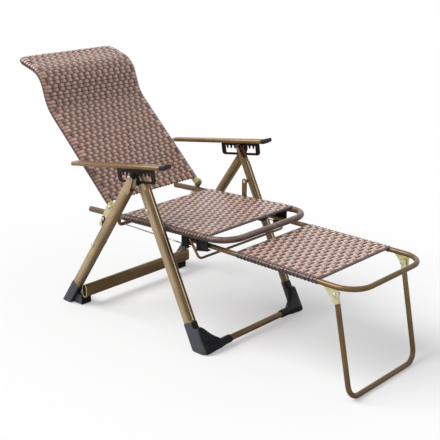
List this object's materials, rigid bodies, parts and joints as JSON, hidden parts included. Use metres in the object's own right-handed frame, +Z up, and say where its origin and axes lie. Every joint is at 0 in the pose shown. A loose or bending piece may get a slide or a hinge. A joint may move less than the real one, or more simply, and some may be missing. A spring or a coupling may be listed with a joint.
{
  "type": "folding lounge chair",
  "caption": "Folding lounge chair with woven strip panels, a reclining back held by toothed plates on the armrests, splayed box-tube legs and a slide-out footrest on a prop leg.",
  "frame": {"origin": "on the floor, under the middle of the overall length and width", "axes": "+X forward towards the footrest, +Y towards the sitter's left, +Z up"},
  "size_m": [1.6373, 0.6132, 0.9266],
  "materials": {
    "bronze_tube": "satin",
    "woven_strip": "satin",
    "slate_plastic": "matte",
    "cap_plastic": "matte",
    "zinc_plate": "satin",
    "dark_steel": "satin",
    "rivet_steel": "polished"
  },
  "bodies": {
    "seat": {"seat_frame": "bronze_tube", "seat_weave": "woven_strip", "hinge_plate_left": "zinc_plate", "hinge_plate_right": "zinc_plate", "back_hinge_pin_left": "rivet_steel", "back_hinge_pin_right": "rivet_steel", "link_pin_left": "rivet_steel", "link_pin_right": "rivet_steel", "seat_hanger_left": "bronze_tube", "seat_hanger_right": "bronze_tube", "seat_pivot_bolt_left": "rivet_steel", "seat_pivot_bolt_right": "rivet_steel", "seat_cross_tube": "bronze_tube", "guide_wire_left": "zinc_plate", "guide_wire_right": "zinc_plate", "support_rod": "bronze_tube", "footrest_glide_left": "slate_plastic", "footrest_glide_right": "slate_plastic"},
    "front_legs": {"front_leg_left": "bronze_tube", "front_leg_right": "bronze_tube", "apex_pin_front_left": "rivet_steel", "apex_pin_front_right": "rivet_steel", "front_foot_left": "slate_plastic", "front_foot_right": "slate_plastic", "front_crossbar": "bronze_tube"},
    "rear_legs": {"rear_leg_left": "bronze_tube", "rear_leg_right": "bronze_tube", "rear_leg_plug_left": "slate_plastic", "rear_leg_plug_right": "slate_plastic", "apex_pin_rear_left": "rivet_steel", "apex_pin_rear_right": "rivet_steel", "link_stud_left": "rivet_steel", "link_stud_right": "rivet_steel", "rear_foot_left": "slate_plastic", "rear_foot_right": "slate_plastic", "rear_crossbar": "bronze_tube"},
    "fold_links": {"fold_link_left": "dark_steel", "fold_link_right": "dark_steel"},
    "back": {"back_frame": "bronze_tube", "back_weave": "woven_strip", "back_lower_bar": "bronze_tube", "arm_bolt_left": "rivet_steel", "arm_bolt_right": "rivet_steel"},
    "arm_left": {"arm_tube_left": "bronze_tube", "arm_cap_left": "cap_plastic", "tooth_plate_left": "dark_steel"},
    "arm_right": {"arm_tube_right": "bronze_tube", "arm_cap_right": "cap_plastic", "tooth_plate_right": "dark_steel"},
    "footrest": {"footrest_frame": "bronze_tube", "footrest_weave": "woven_strip", "footrest_runner_left": "slate_plastic", "footrest_runner_right": "slate_plastic", "leg_bracket_left": "zinc_plate", "leg_bracket_right": "zinc_plate", "leg_rivet_left": "rivet_steel", "leg_rivet_right": "rivet_steel"},
    "footrest_leg": {"footrest_leg": "bronze_tube"}
  },
  "joints": [
    {"name": "fold", "type": "hinge", "parent": "seat", "child": "front_legs", "pos_m": [-0.03929, 0, 0.4705], "axis": [0, 1, 0], "range_deg": [0, 65]},
    {"name": "fold_rear_legs", "type": "hinge", "parent": "front_legs", "child": "rear_legs", "pos_m": [-0.09629, 0, 0.588], "axis": [0, -1, 0], "range_deg": [-0.5, 52]},
    {"name": "fold_links", "type": "hinge", "parent": "seat", "child": "fold_links", "pos_m": [-0.32006, 0, 0.3715], "axis": [0, -1, 0], "range_deg": [-0.5, 65]},
    {"name": "recline", "type": "hinge", "parent": "seat", "child": "back", "pos_m": [-0.28629, 0, 0.4235], "axis": [0, -1, 0], "range_deg": [-20, 30]},
    {"name": "arm_left_swing", "type": "hinge", "parent": "back", "child": "arm_left", "pos_m": [-0.4439, 0, 0.57047], "axis": [0, -1, 0], "range_deg": [-18.6, 12.6]},
    {"name": "arm_right_swing", "type": "hinge", "parent": "back", "child": "arm_right", "pos_m": [-0.4439, 0, 0.57047], "axis": [0, -1, 0], "range_deg": [-18.6, 12.6]},
    {"name": "footrest_slide", "type": "slide", "parent": "seat", "child": "footrest", "axis": [1, 0, 0], "range_m": [-0.28, 0]},
    {"name": "footrest_leg_fold", "type": "hinge", "parent": "footrest", "child": "footrest_leg", "pos_m": [0.72871, 0, 0.352], "axis": [0, 1, 0], "range_deg": [0, 101]}
  ],
  "couplings": [
    {"joint": "fold_rear_legs", "follows": "fold", "ratio": 0.786},
    {"joint": "fold_links", "follows": "fold", "ratio": 0.902},
    {"joint": "arm_left_swing", "follows": "recline", "ratio": -0.605},
    {"joint": "arm_right_swing", "follows": "recline", "ratio": -0.605}
  ]
}
